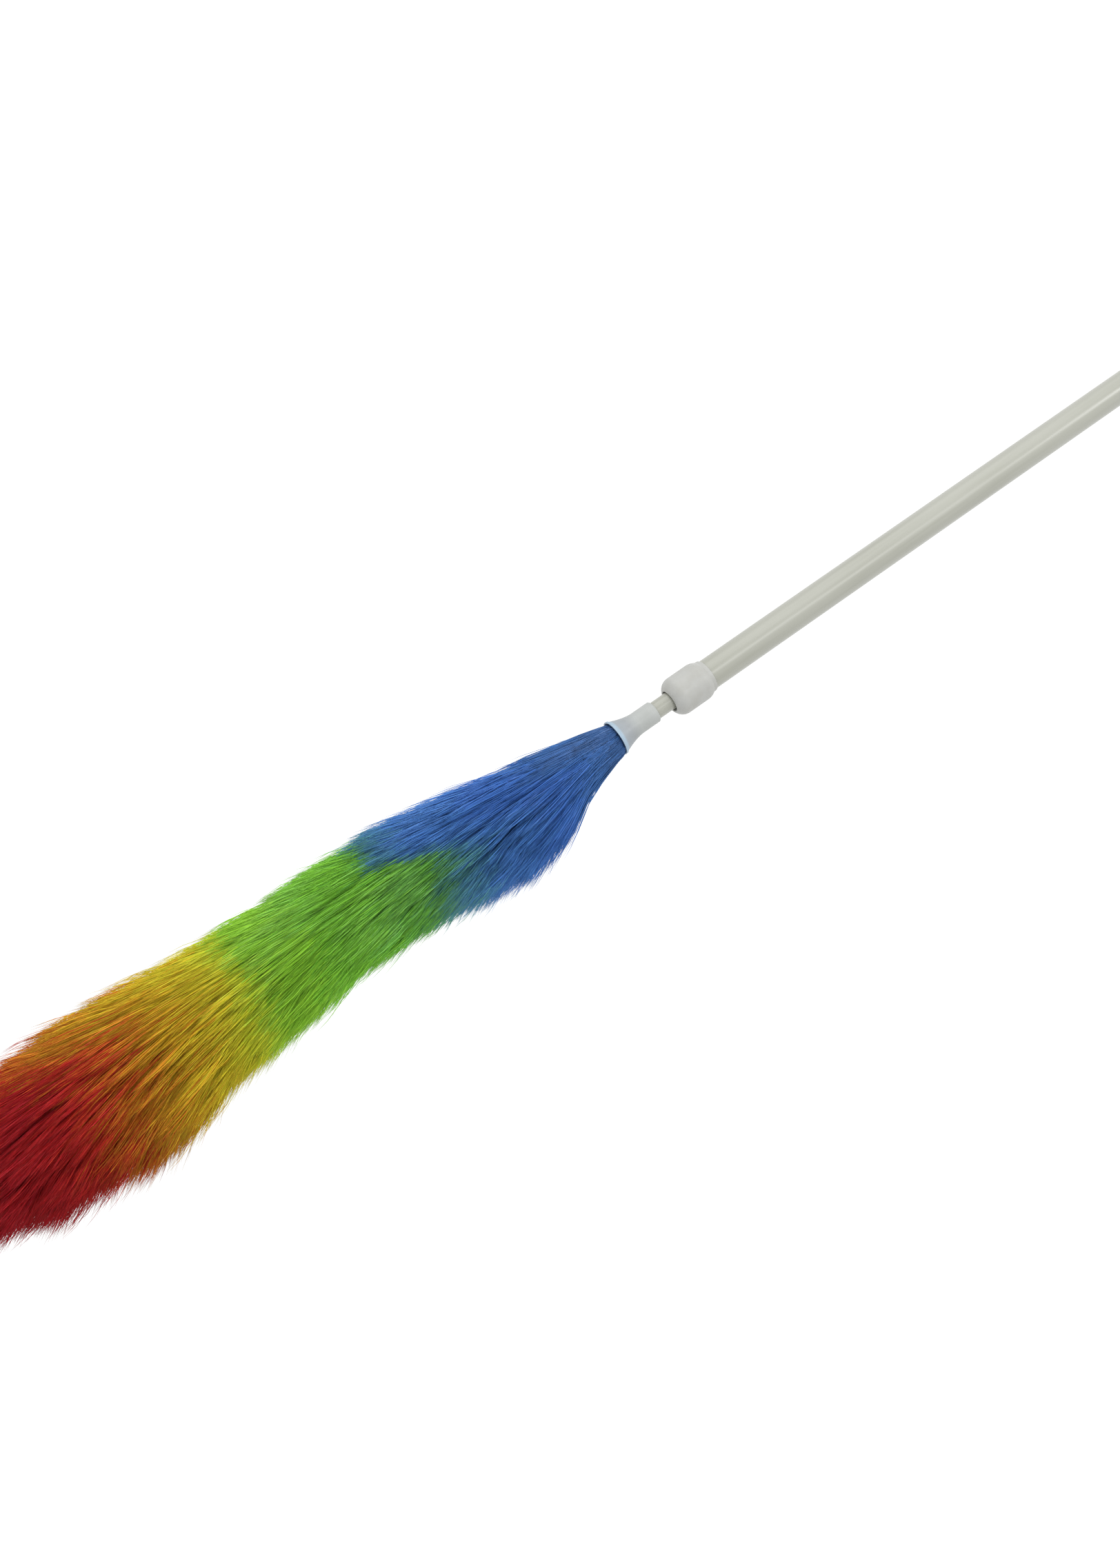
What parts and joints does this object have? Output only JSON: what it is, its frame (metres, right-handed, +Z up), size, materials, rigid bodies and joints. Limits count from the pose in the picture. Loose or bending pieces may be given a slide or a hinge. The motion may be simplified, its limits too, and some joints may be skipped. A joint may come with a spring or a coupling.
{
  "type": "telescopic duster",
  "caption": "Telescopic duster with a twist-lock pole, a guide collar, a flared ferrule and a long combed head of blue, green, yellow and red fibre on a bendable wire core.",
  "frame": {"origin": "centre of the hanging hole in the end cap's eye", "axes": "+Z up along the outer tube's axis, with the head hanging at -Z; Y along the hanging hole, -Y towards the viewer; +X to the viewer's right"},
  "size_m": [0.1151, 0.1152, 1.368],
  "materials": {
    "cream_paint": "gloss",
    "white_plastic": "satin",
    "grip_plastic": "matte",
    "lock_plastic": "matte",
    "steel": "satin",
    "blue_fibre": "satin",
    "green_fibre": "satin",
    "yellow_fibre": "satin",
    "red_fibre": "satin"
  },
  "bodies": {
    "outer_pole": {"outer_tube": "cream_paint", "guide_collar": "white_plastic", "hand_grip": "grip_plastic", "end_cap": "white_plastic", "cap_pin": "steel"},
    "lock_ring": {"cam_ring": "lock_plastic"},
    "inner_pole": {"inner_tube": "cream_paint", "lock_spindle": "lock_plastic", "spindle_pin": "steel", "retaining_disc": "lock_plastic", "retaining_screw": "steel", "ferrule": "white_plastic", "wire_plug": "lock_plastic", "plug_pin": "steel", "core_wire": "steel", "tip_cap": "lock_plastic", "blue_fibres": "blue_fibre", "green_fibres": "green_fibre", "yellow_fibres": "yellow_fibre", "red_fibres": "red_fibre"}
  },
  "joints": [
    {"name": "pole_extend", "type": "slide", "parent": "outer_pole", "child": "lock_ring", "axis": [0, 0, -1], "range_m": [0, 0.6]},
    {"name": "pole_twist", "type": "hinge", "parent": "lock_ring", "child": "inner_pole", "pos_m": [-0.00022, -0.0002, -0.07], "axis": [0, 0, -1], "range_deg": [0, 97.2]}
  ]
}
